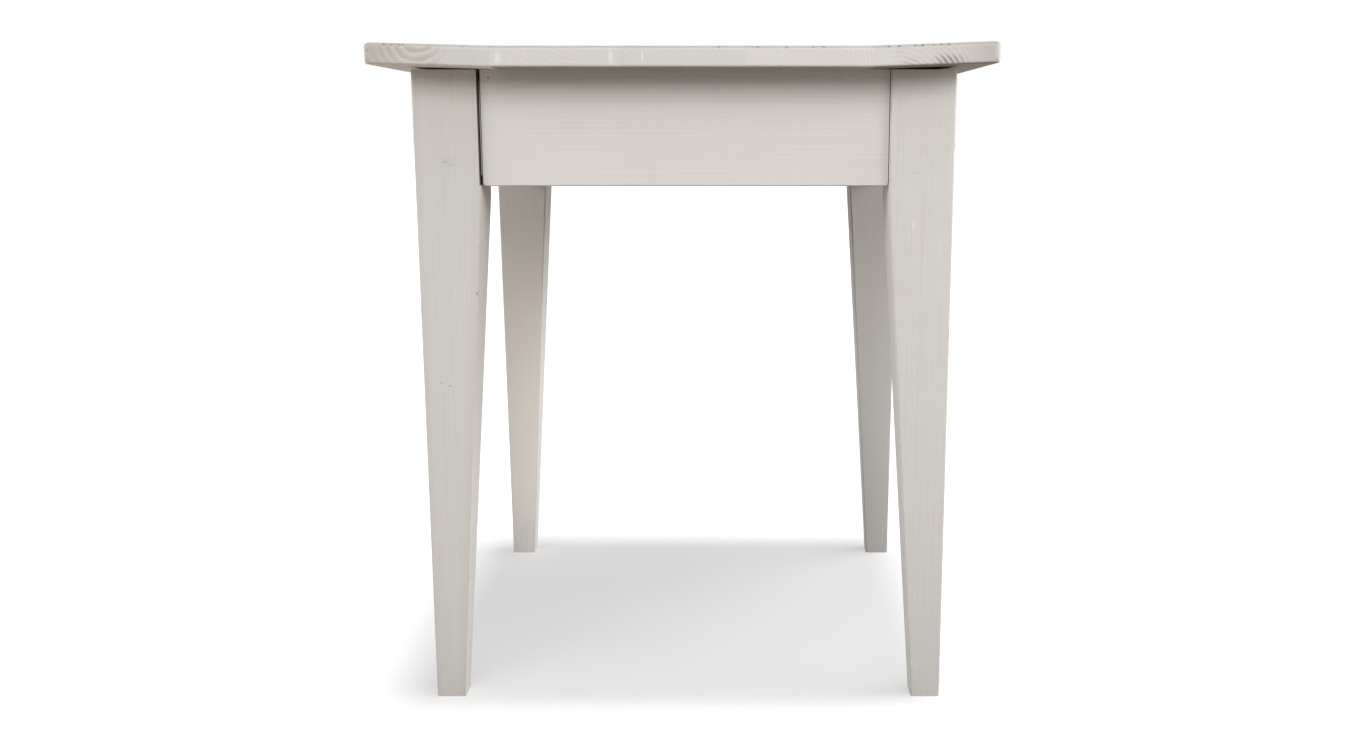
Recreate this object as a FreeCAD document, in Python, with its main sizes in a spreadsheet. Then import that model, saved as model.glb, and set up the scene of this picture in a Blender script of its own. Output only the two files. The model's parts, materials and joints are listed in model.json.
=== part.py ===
"""Kitchen table of whitewashed pine with two drawers in one long side.

Millimetres, +Z up. The origin is on the floor under the middle of the tabletop.
X runs across the table and Y along it. The drawers open towards -X.
"""
import FreeCAD, Part
import os

import Sketcher

# Driving sizes: name, millimetres (or a count), what it measures
SIZES = [
    ("table_length", "730", "tabletop along its boards"),
    ("table_width", "686", "tabletop across its boards"),
    ("table_height", "760", "floor to the tabletop's middle"),
    ("top_thick", "23", "thickness of the tabletop boards"),
    ("board_count", "5", "boards glued side by side"),
    ("lift_left", "3.5", "rise of the cupped left edge"),
    ("lift_right", "5", "rise of the cupped right edge"),
    ("top_corner", "8", "corner radius of the tabletop in plan"),
    ("top_arris", "5", "rounding of the tabletop's upper edge"),
    ("under_arris", "3", "rounding of the tabletop's lower edge"),
    ("side_overhang", "40", "tabletop beyond the legs, across"),
    ("end_overhang", "47", "tabletop beyond the legs, along"),
    ("leg_block", "73", "square leg above the taper"),
    ("leg_foot", "34", "square foot of the leg"),
    ("leg_arris", "2", "rounding of the leg's long edges"),
    ("leg_top_gap", "0.2", "open joint between leg and tabletop"),
    ("taper_drop", "2", "start of the taper below the apron"),
    ("taper_bend", "300", "radius of the bend from the leg's block into its taper"),
    ("apron_height", "128", "depth of the aprons"),
    ("apron_thick", "22", "thickness of the aprons"),
    ("apron_setback", "5", "aprons and rails behind the leg faces"),
    ("apron_corner", "4", "rounding of the apron's lower corners"),
    ("apron_ease", "1", "bevel of the apron's front edges"),
    ("open_joint", "1.8", "near apron's left shoulder, drawn out of its joint"),
    ("tenon_thick", "10", "apron tenon"),
    ("tenon_long", "30", "apron and rail tenons into the legs"),
    ("tenon_shoulder", "12", "apron left above and below its tenon"),
    ("tenon_fit", "0.2", "room round every tenon"),
    ("mortise_spare", "2", "mortise beyond the tenon's end"),
    ("rail_deep", "60", "drawer rails, front to back"),
    ("rail_top_thick", "18", "upper drawer rail and kickers"),
    ("rail_low_thick", "22", "lower drawer rail"),
    ("rail_ease", "1.5", "rounding of the rails' front edges"),
    ("rail_tenon_inset", "10", "rail left beside its tenon"),
    ("rail_tenon_thick", "8", "rail tenon"),
    ("rail_tenon_step", "4", "rail left under its tenon"),
    ("divider_wide", "20", "divider between the drawers"),
    ("stub_long", "8", "divider's stub tenons"),
    ("stub_shoulder", "5", "divider left beside its stub tenons"),
    ("front_gap", "1.5", "gap round a drawer front"),
    ("slide_gap", "0.3", "running gap under the drawers and at their stops"),
    ("front_thick", "20", "drawer front"),
    ("front_ease", "2", "rounding of the drawer front's edges"),
    ("drawer_deep", "420", "drawer from its front to its back end"),
    ("side_thick", "12", "drawer sides"),
    ("back_thick", "12", "drawer back"),
    ("back_inset", "8", "drawer sides behind the back"),
    ("back_drop", "4", "drawer back below the sides' upper edge"),
    ("housing_deep", "4", "drawer back let into the sides"),
    ("bottom_thick", "6", "drawer bottom"),
    ("bottom_rise", "10", "drawer bottom above the sides' lower edge"),
    ("groove_deep", "6", "groove that holds the drawer bottom"),
    ("box_fit", "0.1", "room in the drawer box's joints"),
    ("tail_count", "3", "dovetails at each front corner"),
    ("tail_root", "14", "dovetail at the front's inner face"),
    ("tail_tip", "18", "dovetail at its wide end"),
    ("tail_lap", "7", "drawer front left over the dovetails"),
    ("runner_lip", "4", "runner past the drawer side that it carries"),
    ("guide_thick", "12", "end guides beside the drawers"),
    ("guide_high", "20", "guides above the runners"),
    ("stop_long", "22", "drawer stop, front to back"),
    ("stop_wide", "30", "drawer stop, along the rail"),
    ("stop_high", "6", "drawer stop"),
    ("stop_inset", "18", "drawer stops inside the drawer's sides"),
    ("knob_long", "28", "knob from the drawer front"),
    ("knob_base", "18", "diameter of the knob's foot"),
    ("knob_foot", "4", "height of the knob's foot"),
    ("knob_neck", "13", "diameter of the knob's neck"),
    ("knob_head", "32", "diameter of the knob's head"),
    ("knob_head_long", "13", "thickness of the knob's head"),
    ("knob_crown", "5", "bevel round the knob's face"),
    ("knob_screw_long", "36", "knob screw under its head"),
    ("knob_screw_thick", "4", "knob screw"),
    ("top_screw_long", "30", "tabletop screw under its head"),
    ("top_screw_thick", "4", "tabletop screw"),
    ("screw_head", "8", "diameter of the screw heads"),
    ("screw_head_high", "2.5", "height of the screw heads"),
    ("screw_fit", "0.1", "room round the screws"),
]

# Places worked out from the driving sizes
UNDERSIDE = "(Sizes.table_height - Sizes.top_thick)"
BOARD_WIDE = "(Sizes.table_width / Sizes.board_count)"
LEG_X = "(Sizes.table_width / 2 - Sizes.side_overhang)"
LEG_Y = "(Sizes.table_length / 2 - Sizes.end_overhang)"
LEG_TOP = f"({UNDERSIDE} - Sizes.leg_top_gap)"
SPAN_X = f"(2 * {LEG_X} - 2 * Sizes.leg_block)"
SPAN_Y = f"(2 * {LEG_Y} - 2 * Sizes.leg_block)"
APRON_LOW = f"({UNDERSIDE} - Sizes.apron_height)"
TAPER_TOP = f"({APRON_LOW} - Sizes.taper_drop)"
INNER_X = f"({LEG_X} - Sizes.apron_setback - Sizes.apron_thick)"
INNER_Y = f"({LEG_Y} - Sizes.apron_setback - Sizes.apron_thick)"
TENON_ACROSS = "((Sizes.apron_thick - Sizes.tenon_thick) / 2)"
MORTISE_DEEP = "(Sizes.tenon_long + Sizes.mortise_spare)"

RAIL_FACE = f"(-{LEG_X} + Sizes.apron_setback)"
RAIL_BACK = f"({RAIL_FACE} + Sizes.rail_deep)"
RAIL_TENON_WIDE = "(Sizes.rail_deep - 2 * Sizes.rail_tenon_inset)"
RAIL_TOP_LOW = f"({UNDERSIDE} - Sizes.rail_top_thick)"
RAIL_LOW_TOP = f"({APRON_LOW} + Sizes.rail_low_thick)"
STUB_THICK = "(Sizes.divider_wide - 2 * Sizes.stub_shoulder)"

OPENING_WIDE = f"(({SPAN_Y} - Sizes.divider_wide) / 2)"
OPENING_HIGH = f"({RAIL_TOP_LOW} - {RAIL_LOW_TOP})"
FRONT_WIDE = f"({OPENING_WIDE} - 2 * Sizes.front_gap)"
FRONT_HIGH = f"({OPENING_HIGH} - 2 * Sizes.front_gap)"
DRAWER_LOW = f"({RAIL_LOW_TOP} + Sizes.front_gap)"
DRAWER_MIDDLE = f"((Sizes.divider_wide + {OPENING_WIDE}) / 2)"
BOX_INSIDE = f"({FRONT_WIDE} - 2 * Sizes.side_thick)"
BOTTOM_TOP = "(Sizes.bottom_rise + Sizes.bottom_thick)"
BACK_FACE = "(Sizes.drawer_deep - Sizes.back_inset - Sizes.back_thick)"
TAIL_PITCH = f"({FRONT_HIGH} / Sizes.tail_count)"

RUNNER_TOP = f"({DRAWER_LOW} - Sizes.slide_gap)"
SIDE_SEAT = "(Sizes.front_gap + Sizes.side_thick + Sizes.runner_lip)"
END_GEAR_WIDE = f"({INNER_Y} - {SPAN_Y} / 2 + {SIDE_SEAT})"
MID_GEAR_WIDE = f"(Sizes.divider_wide + 2 * {SIDE_SEAT})"
MID_GEAR_LONG = f"({INNER_X} - {RAIL_BACK})"
SCREW_ROW = f"(({INNER_Y} + {SPAN_Y} / 2) / 2)"
HOLE_R = "(Sizes.top_screw_thick / 2 + Sizes.screw_fit)"
PILOT_DEEP = "(Sizes.top_screw_long - Sizes.rail_top_thick + Sizes.screw_fit)"

TOUCH = 1e-4
NEAR, FAR = -1, 1

doc = FreeCAD.newDocument("KitchenTable")
sheet = doc.addObject("Spreadsheet::Sheet", "Sizes")
for row, (alias, size, meaning) in enumerate(SIZES, start=1):
    sheet.set(f"A{row}", meaning)
    sheet.set(f"B{row}", size)
    sheet.setAlias(f"B{row}", alias)
doc.recompute()

nodes = []


def number(text):
    """The value of an expression at the present sizes."""
    return float(sheet.evalExpression(text))


def bind(target, **texts):
    for name, text in texts.items():
        target.setExpression(name, text)


def place(target, low):
    for axis, text in zip("xyz", low):
        target.setExpression(f"Placement.Base.{axis}", text)


# Building blocks shared by all the pieces


def new_body(label, origin, turn=0):
    """A piece with its own frame at origin, turned about Z by whole right angles."""
    body = doc.addObject("PartDesign::Body", label)
    body.Label = label
    body.Placement = FreeCAD.Placement(FreeCAD.Vector(), FreeCAD.Rotation(turn, 0, 0))
    place(body, origin)
    nodes.append(body)
    return body


def add_block(body, name, low, size, kind="Additive"):
    block = body.newObject(f"PartDesign::{kind}Box", name)
    bind(block, Length=size[0], Width=size[1], Height=size[2])
    place(block, low)
    doc.recompute()
    return block


def cut_block(body, name, low, size):
    return add_block(body, name, low, size, kind="Subtractive")


def cut_hole(body, name, start, radius, depth, along_x=False):
    """A round hole that runs up from start, or along +X."""
    hole = body.newObject("PartDesign::SubtractiveCylinder", name)
    if along_x:
        hole.Placement = FreeCAD.Placement(FreeCAD.Vector(), FreeCAD.Rotation(0, 90, 0))
    bind(hole, Radius=radius, Height=depth)
    place(hole, start)
    doc.recompute()
    return hole


def plain_board(label, low, size, own_node=True):
    """A square-edged board given by its low corner and its three sizes."""
    board = doc.addObject("Part::Box", label)
    board.Label = label
    bind(board, Length=size[0], Width=size[1], Height=size[2])
    place(board, low)
    if own_node:
        nodes.append(board)
    return board


def new_sketch(body, name, role, rise="0"):
    """A sketch on one of the body's origin planes, moved along the plane's normal."""
    sketch = body.newObject("Sketcher::SketchObject", name)
    plane = next(item for item in body.Origin.OriginFeatures if item.Role == role)
    sketch.AttachmentSupport = [(plane, "")]
    sketch.MapMode = "FlatFace"
    sketch.setExpression("AttachmentOffset.Base.z", rise)
    return sketch


def pin_point(sketch, line, end, point):
    """Holds one end of a line at a point given by two expressions."""
    for kind, text in zip(("DistanceX", "DistanceY"), point):
        rule = sketch.addConstraint(Sketcher.Constraint(kind, -1, 1, line, end, number(text)))
        sketch.setExpression(f"Constraints[{rule}]", text)


def add_outline(sketch, points):
    """A closed outline of straight lines whose corners are all held by expressions."""
    corners = [FreeCAD.Vector(number(x), number(y), 0) for x, y in points]
    first = sketch.GeometryCount
    for corner, following in zip(corners, corners[1:] + corners[:1]):
        sketch.addGeometry(Part.LineSegment(corner, following))
    for index in range(len(points)):
        following = first + (index + 1) % len(points)
        sketch.addConstraint(Sketcher.Constraint("Coincident", first + index, 2, following, 1))
    for index, point in enumerate(points):
        pin_point(sketch, first + index, 1, point)


def sweep(body, name, kind, sketch, length, reverse=False):
    """A pad or pocket of a sketch; reverse sends it the other way."""
    doc.recompute()
    feature = body.newObject(f"PartDesign::{kind}", name)
    feature.Profile = sketch
    feature.Reversed = reverse
    feature.setExpression("Length", length)
    doc.recompute()
    return feature


def on_plane(edge, axis, at):
    """True for an edge that lies whole in the plane where one coordinate is at."""
    low = getattr(edge.BoundBox, f"{axis}Min")
    high = getattr(edge.BoundBox, f"{axis}Max")
    return abs(low - at) < TOUCH and abs(high - at) < TOUCH


def runs_along(edge, axis):
    """True for a straight edge parallel to one axis."""
    return edge.BoundBox.DiagonalLength - getattr(edge.BoundBox, f"{axis}Length") < TOUCH


def dress_edges(body, name, kind, measure, size, wanted):
    base = body.Tip
    names = [f"Edge{index}" for index, edge in enumerate(base.Shape.Edges, start=1) if wanted(edge)]
    dressed = body.newObject(f"PartDesign::{kind}", name)
    dressed.Base = (base, names)
    dressed.setExpression(measure, size)
    doc.recompute()


def round_edges(body, name, radius, wanted):
    """Rounds the edges of the piece so far that the test picks."""
    dress_edges(body, name, "Fillet", "Radius", radius, wanted)


def bevel_edges(body, name, size, wanted):
    """Cuts a flat bevel along the edges of the piece so far that the test picks."""
    dress_edges(body, name, "Chamfer", "Size", size, wanted)


# Tabletop


def screwed_boards():
    """The boards next to the two outer ones take the screws that hold the top."""
    last = int(number("Sizes.board_count")) - 1
    return (1, last - 1)


def top_board(index):
    """One board of the top, in a frame at its far lower left corner."""
    last = int(number("Sizes.board_count")) - 1
    lift_low = "Sizes.lift_left" if index == 0 else "0"
    lift_high = "Sizes.lift_right" if index == last else "0"
    left = f"(-Sizes.table_width / 2 + {index} * {BOARD_WIDE})"
    body = new_body(f"top_board_{index + 1}", (left, "Sizes.table_length / 2", UNDERSIDE))
    section = new_sketch(body, "section", "XZ_Plane")
    corners = [
        ("0", lift_low),
        (BOARD_WIDE, lift_high),
        (BOARD_WIDE, f"Sizes.top_thick + {lift_high}"),
        ("0", f"Sizes.top_thick + {lift_low}"),
    ]
    add_outline(section, corners)
    sweep(body, "plank", "Pad", section, "Sizes.table_length")

    seams = []
    outer = None
    for side, edge_of_top in ((0, index == 0), (number(BOARD_WIDE), index == last)):
        if edge_of_top:
            outer = side
        else:
            seams.append(side)
    if outer is not None:
        round_edges(body, "plan_corners", "Sizes.top_corner",
                    lambda edge: runs_along(edge, "Z") and on_plane(edge, "X", outer))
    middle = number("Sizes.top_thick") / 2 + number(lift_low) / 2 + number(lift_high) / 2

    def rim(edge, upper):
        upright = runs_along(edge, "Z")
        in_seam = any(on_plane(edge, "X", seam) for seam in seams)
        return not upright and not in_seam and (edge.CenterOfMass.z > middle) == upper

    round_edges(body, "upper_arris", "Sizes.top_arris", lambda edge: rim(edge, True))
    is_under = lambda edge: rim(edge, False) and edge.BoundBox.ZMax < middle
    round_edges(body, "lower_arris", "Sizes.under_arris", is_under)

    if index in screwed_boards():
        for row, y in enumerate((f"-{SCREW_ROW}", SCREW_ROW)):
            start = (f"{BOARD_WIDE} / 2", f"{y} - Sizes.table_length / 2", "0")
            cut_hole(body, f"pilot_{row}", start, HOLE_R, PILOT_DEEP)


# Legs


def cut_mortise(body, name, face, across, wide, low, high):
    """A mortise in one inner face of a leg; across is counted from the leg's outer face."""
    deep = f"Sizes.leg_block - {MORTISE_DEEP}"
    start = f"{across} - Sizes.tenon_fit"
    room = f"{wide} + 2 * Sizes.tenon_fit"
    tall = f"{high} - {low} + 2 * Sizes.tenon_fit"
    base = f"{low} - Sizes.tenon_fit"
    if face == "x":
        cut_block(body, name, (deep, start, base), (MORTISE_DEEP, room, tall))
    else:
        cut_block(body, name, (start, deep, base), (room, MORTISE_DEEP, tall))


def cut_apron_mortise(body, face):
    across = f"Sizes.apron_setback + {TENON_ACROSS}"
    low = f"({APRON_LOW} + Sizes.tenon_shoulder)"
    high = f"({UNDERSIDE} - Sizes.tenon_shoulder)"
    cut_mortise(body, f"apron_mortise_{face}", face, across, "Sizes.tenon_thick", low, high)


def cut_rail_mortises(body, face):
    across = "Sizes.apron_setback + Sizes.rail_tenon_inset"
    for name, rail_low in (("low", APRON_LOW), ("top", RAIL_TOP_LOW)):
        low = f"({rail_low} + Sizes.rail_tenon_step)"
        high = f"({low} + Sizes.rail_tenon_thick)"
        cut_mortise(body, f"{name}_rail_mortise", face, across, RAIL_TENON_WIDE, low, high)


def add_tapered_outline(sketch, others):
    """An outline that climbs the taper and its bend to the leg's block, closed by the other corners."""
    block, foot, bend = (number(f"Sizes.{name}") for name in ("leg_block", "leg_foot", "taper_bend"))
    rise = number(TAPER_TOP)
    lean = (block - foot) / rise
    centre = FreeCAD.Vector(block - bend, rise, 0)
    circle = Part.Circle(centre, FreeCAD.Vector(0, 0, 1), bend)
    arc = sketch.addGeometry(Part.ArcOfCircle(circle, -lean, 0))
    bottom = FreeCAD.Vector(foot, 0, 0)
    taper = sketch.addGeometry(Part.LineSegment(bottom, sketch.getPoint(arc, 1)))
    pin_point(sketch, arc, 3, ("Sizes.leg_block - Sizes.taper_bend", TAPER_TOP))
    pin_point(sketch, arc, 2, ("Sizes.leg_block", TAPER_TOP))
    pin_point(sketch, taper, 1, ("Sizes.leg_foot", "0"))
    sketch.addConstraint(Sketcher.Constraint("Tangent", taper, 2, arc, 1))
    corners = [FreeCAD.Vector(number(x), number(y), 0) for x, y in others]
    stops = [sketch.getPoint(arc, 2), *corners, bottom]
    last, last_end = arc, 2
    for index, (here, following) in enumerate(zip(stops, stops[1:])):
        line = sketch.addGeometry(Part.LineSegment(here, following))
        sketch.addConstraint(Sketcher.Constraint("Coincident", last, last_end, line, 1))
        if index < len(others):
            pin_point(sketch, line, 2, others[index])
        last, last_end = line, 2
    sketch.addConstraint(Sketcher.Constraint("Coincident", last, 2, taper, 1))


def leg(label, corner, turn, rail_face=None):
    """A leg in a frame at its outer corner: square block above, two inner faces tapered below."""
    body = new_body(label, (*corner, "0"), turn)
    side = new_sketch(body, "side", "XZ_Plane")
    add_tapered_outline(side, [("Sizes.leg_block", LEG_TOP), ("0", LEG_TOP), ("0", "0")])
    sweep(body, "post", "Pad", side, "Sizes.leg_block", reverse=True)
    waste = new_sketch(body, "waste", "YZ_Plane")
    past = "Sizes.leg_block + Sizes.leg_arris"
    add_tapered_outline(waste, [(past, TAPER_TOP), (past, "0")])
    sweep(body, "second_taper", "Pocket", waste, "Sizes.leg_block", reverse=True)
    round_edges(body, "long_edges", "Sizes.leg_arris", lambda edge: edge.BoundBox.ZLength > TOUCH)
    for face in ("x", "y"):
        if face == rail_face:
            cut_rail_mortises(body, face)
        else:
            cut_apron_mortise(body, face)


# Aprons and drawer rails


def apron(label, origin, turn, length, gap="0"):
    """A tenoned apron, in a frame at the lower end of its front face; gap opens its first joint."""
    body = new_body(label, origin, turn)
    size = (f"{length} - {gap}", "Sizes.apron_thick", "Sizes.apron_height")
    add_block(body, "board", (gap, "0", "0"), size)
    round_edges(body, "lower_corners", "Sizes.apron_corner",
                lambda edge: runs_along(edge, "Y") and on_plane(edge, "Z", 0))
    top = number("Sizes.apron_height")
    bevel_edges(body, "front_ease", "Sizes.apron_ease",
                lambda edge: on_plane(edge, "Y", 0) and not on_plane(edge, "Z", top))
    tall = "Sizes.apron_height - 2 * Sizes.tenon_shoulder"
    for name, start, spare in (("tenon_start", "-Sizes.tenon_long", gap), ("tenon_end", length, "0")):
        low = (start, TENON_ACROSS, "Sizes.tenon_shoulder")
        add_block(body, name, low, (f"Sizes.tenon_long + {spare}", "Sizes.tenon_thick", tall))


def drawer_rail(label, low, thick, stub_low):
    """A rail laid flat between the two drawer-side legs, with a socket for the divider."""
    body = new_body(label, (RAIL_FACE, f"-{SPAN_Y} / 2", low))
    add_block(body, "board", ("0", "0", "0"), ("Sizes.rail_deep", SPAN_Y, thick))
    round_edges(body, "front_ease", "Sizes.rail_ease",
                lambda edge: runs_along(edge, "Y") and on_plane(edge, "X", 0))
    for name, start in (("tenon_near", "-Sizes.tenon_long"), ("tenon_far", SPAN_Y)):
        corner = ("Sizes.rail_tenon_inset", start, "Sizes.rail_tenon_step")
        add_block(body, name, corner, (RAIL_TENON_WIDE, "Sizes.tenon_long", "Sizes.rail_tenon_thick"))
    corner = (
        "Sizes.rail_tenon_inset - Sizes.tenon_fit",
        f"({SPAN_Y} - {STUB_THICK}) / 2 - Sizes.tenon_fit",
        stub_low,
    )
    room = (
        f"{RAIL_TENON_WIDE} + 2 * Sizes.tenon_fit",
        f"{STUB_THICK} + 2 * Sizes.tenon_fit",
        "Sizes.stub_long + Sizes.tenon_fit",
    )
    cut_block(body, "divider_socket", corner, room)


def drawer_divider():
    body = new_body("drawer_divider", (RAIL_FACE, "-Sizes.divider_wide / 2", RAIL_LOW_TOP))
    add_block(body, "post", ("0", "0", "0"), ("Sizes.rail_deep", "Sizes.divider_wide", OPENING_HIGH))
    round_edges(body, "front_ease", "Sizes.rail_ease",
                lambda edge: runs_along(edge, "Z") and on_plane(edge, "X", 0))
    for name, start in (("stub_low", "-Sizes.stub_long"), ("stub_top", OPENING_HIGH)):
        corner = ("Sizes.rail_tenon_inset", "Sizes.stub_shoulder", start)
        add_block(body, name, corner, (RAIL_TENON_WIDE, STUB_THICK, "Sizes.stub_long"))


# Drawer gear


def screwed_board_centres():
    """Across the table, the middles of the boards that the screws reach."""
    return [f"(-Sizes.table_width / 2 + {index + 0.5} * {BOARD_WIDE})" for index in screwed_boards()]


def screwed_kicker(label, low, size, screw_y):
    """A board under the tabletop that keeps an open drawer level and takes the screws."""
    body = new_body(label, low)
    add_block(body, "board", ("0", "0", "0"), size)
    for index, x in enumerate(screwed_board_centres()):
        start = (f"{x} - {low[0]}", f"{screw_y} - {low[1]}", "0")
        cut_hole(body, f"screw_hole_{index}", start, HOLE_R, size[2])


def end_gear(name, side):
    """Runner, guide and kicker along one end apron."""
    start = f"-{INNER_Y}" if side == NEAR else f"{INNER_Y} - {END_GEAR_WIDE}"
    guide = f"-{SPAN_Y} / 2 - Sizes.guide_thick" if side == NEAR else f"{SPAN_Y} / 2"
    left = f"(-{SPAN_X} / 2)"
    plain_board(f"runner_{name}", (left, start, APRON_LOW),
                (SPAN_X, END_GEAR_WIDE, f"{RUNNER_TOP} - {APRON_LOW}"))
    plain_board(f"guide_{name}", (left, guide, RUNNER_TOP),
                (SPAN_X, "Sizes.guide_thick", "Sizes.guide_high"))
    screwed_kicker(f"kicker_{name}", (left, f"({start})", RAIL_TOP_LOW),
                   (SPAN_X, END_GEAR_WIDE, "Sizes.rail_top_thick"), f"{side} * {SCREW_ROW}")


def middle_gear():
    """Runner, guide and kicker between the two drawers, from the rails to the back apron."""
    start = f"(-{MID_GEAR_WIDE} / 2)"
    plain_board("runner_middle", (RAIL_BACK, start, APRON_LOW),
                (MID_GEAR_LONG, MID_GEAR_WIDE, f"{RUNNER_TOP} - {APRON_LOW}"))
    plain_board("guide_middle", (RAIL_BACK, "-Sizes.divider_wide / 2", RUNNER_TOP),
                (MID_GEAR_LONG, "Sizes.divider_wide", "Sizes.guide_high"))
    plain_board("kicker_middle", (RAIL_BACK, start, RAIL_TOP_LOW),
                (MID_GEAR_LONG, MID_GEAR_WIDE, "Sizes.rail_top_thick"))


def group(label, members):
    """Separate solids of one kind under one name."""
    compound = doc.addObject("Part::Compound", label)
    compound.Label = label
    compound.Links = members
    nodes.append(compound)


def drawer_stops():
    """Blocks on the lower rail that the closed drawer fronts meet."""
    blocks = []
    x = f"{RAIL_FACE} + Sizes.front_thick + Sizes.slide_gap"
    for side in (NEAR, FAR):
        for end in (NEAR, FAR):
            reach = f"({BOX_INSIDE} / 2 - Sizes.stop_inset - Sizes.stop_wide / 2)"
            y = f"{side} * {DRAWER_MIDDLE} + {end} * {reach} - Sizes.stop_wide / 2"
            blocks.append(plain_board(f"stop_{len(blocks)}", (x, y, RAIL_LOW_TOP),
                                      ("Sizes.stop_long", "Sizes.stop_wide", "Sizes.stop_high"),
                                      own_node=False))
    group("drawer_stops", blocks)


def top_screws():
    """Round-headed screws up through the end kickers into the tabletop."""
    screws = []
    for y in (f"-{SCREW_ROW}", SCREW_ROW):
        for x in screwed_board_centres():
            index = len(screws)
            shank = doc.addObject("Part::Cylinder", f"screw_shank_{index}")
            bind(shank, Radius="Sizes.top_screw_thick / 2", Height="Sizes.top_screw_long")
            place(shank, (x, y, RAIL_TOP_LOW))
            head = doc.addObject("Part::Cylinder", f"screw_head_{index}")
            bind(head, Radius="Sizes.screw_head / 2", Height="Sizes.screw_head_high")
            place(head, (x, y, f"{RAIL_TOP_LOW} - Sizes.screw_head_high"))
            screw = doc.addObject("Part::Fuse", f"top_screw_{index}")
            screw.Base = shank
            screw.Tool = head
            screws.append(screw)
    group("top_screws", screws)


# Drawers


def tail_outlines(sketch, room):
    """The dovetails seen from the drawer's side, each widened all round by room."""
    for index in range(int(number("Sizes.tail_count"))):
        middle = f"({index + 0.5} * {TAIL_PITCH})"
        root = f"(Sizes.tail_root / 2 + {room})"
        tip = f"(Sizes.tail_tip / 2 + {room})"
        tip_x = f"(Sizes.tail_lap + Sizes.box_fit - {room})"
        add_outline(sketch, [
            ("Sizes.front_thick", f"{middle} - {root}"),
            ("Sizes.front_thick", f"{middle} + {root}"),
            (tip_x, f"{middle} + {tip}"),
            (tip_x, f"{middle} - {tip}"),
        ])


def drawer_front(label, origin):
    """The front, in a frame at the middle of its outer lower edge."""
    body = new_body(label, origin)
    half = f"({FRONT_WIDE} / 2)"
    add_block(body, "board", ("0", f"-{half}", "0"), ("Sizes.front_thick", FRONT_WIDE, FRONT_HIGH))
    round_edges(body, "front_ease", "Sizes.front_ease", lambda edge: on_plane(edge, "X", 0))
    sockets = new_sketch(body, "sockets", "XZ_Plane", half)
    tail_outlines(sockets, "Sizes.box_fit")
    pocket = sweep(body, "tail_sockets", "Pocket", sockets, "Sizes.side_thick + Sizes.box_fit")
    mirrored = body.newObject("PartDesign::Mirrored", "far_tail_sockets")
    mirrored.Originals = [pocket]
    plane = next(item for item in body.Origin.OriginFeatures if item.Role == "XZ_Plane")
    mirrored.MirrorPlane = (plane, [""])
    body.Tip = mirrored
    doc.recompute()
    groove_long = f"({BOX_INSIDE} + 2 * Sizes.groove_deep)"
    cut_block(body, "bottom_groove",
              ("Sizes.front_thick - Sizes.groove_deep", f"-{groove_long} / 2", "Sizes.bottom_rise"),
              ("Sizes.groove_deep", groove_long, "Sizes.bottom_thick + Sizes.box_fit"))
    cut_hole(body, "knob_hole", ("0", "0", f"{FRONT_HIGH} / 2"),
             "Sizes.knob_screw_thick / 2 + Sizes.screw_fit", "Sizes.front_thick", along_x=True)


def drawer_side(label, origin, inner_face_high):
    """A side, in a frame on its low face at the line of the front's outer face."""
    body = new_body(label, origin)
    add_block(body, "board", ("Sizes.front_thick", "0", "0"),
              ("Sizes.drawer_deep - Sizes.front_thick", "Sizes.side_thick", FRONT_HIGH))
    tails = new_sketch(body, "tails", "XZ_Plane", "-Sizes.side_thick")
    tail_outlines(tails, "0")
    sweep(body, "dovetails", "Pad", tails, "Sizes.side_thick")
    groove_y = "Sizes.side_thick - Sizes.groove_deep" if inner_face_high else "0"
    cut_block(body, "bottom_groove", ("0", groove_y, "Sizes.bottom_rise"),
              ("Sizes.drawer_deep", "Sizes.groove_deep", "Sizes.bottom_thick + Sizes.box_fit"))
    housing_y = "Sizes.side_thick - Sizes.housing_deep" if inner_face_high else "0"
    cut_block(body, "back_housing",
              (f"{BACK_FACE} - Sizes.box_fit", housing_y, BOTTOM_TOP),
              ("Sizes.back_thick + 2 * Sizes.box_fit", "Sizes.housing_deep", f"{FRONT_HIGH} - {BOTTOM_TOP}"))


def drawer_panels(name, middle):
    """The back, let into the sides, and the bottom, slid into its grooves from behind."""
    back_wide = f"({BOX_INSIDE} + 2 * (Sizes.housing_deep - Sizes.box_fit))"
    plain_board(f"{name}_back",
                (f"{RAIL_FACE} + {BACK_FACE}", f"{middle} - {back_wide} / 2",
                 f"{DRAWER_LOW} + {BOTTOM_TOP} + Sizes.box_fit"),
                ("Sizes.back_thick", back_wide,
                 f"{FRONT_HIGH} - Sizes.back_drop - {BOTTOM_TOP} - Sizes.box_fit"))
    bottom_wide = f"({BOX_INSIDE} + 2 * (Sizes.groove_deep - Sizes.box_fit))"
    bottom_x = "(Sizes.front_thick - Sizes.groove_deep + Sizes.box_fit)"
    plain_board(f"{name}_bottom",
                (f"{RAIL_FACE} + {bottom_x}", f"{middle} - {bottom_wide} / 2",
                 f"{DRAWER_LOW} + Sizes.bottom_rise"),
                (f"Sizes.drawer_deep - {bottom_x}", bottom_wide, "Sizes.bottom_thick"))


def turn_round_x(body, name, points):
    """A turned piece: the outline in X and radius, spun about the body's X axis."""
    outline = new_sketch(body, f"{name}_outline", "XZ_Plane")
    add_outline(outline, points)
    doc.recompute()
    turned = body.newObject("PartDesign::Revolution", name)
    turned.Profile = outline
    axis = next(item for item in body.Origin.OriginFeatures if item.Role == "X_Axis")
    turned.ReferenceAxis = (axis, [""])
    turned.Angle = 360
    doc.recompute()
    return turned


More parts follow.
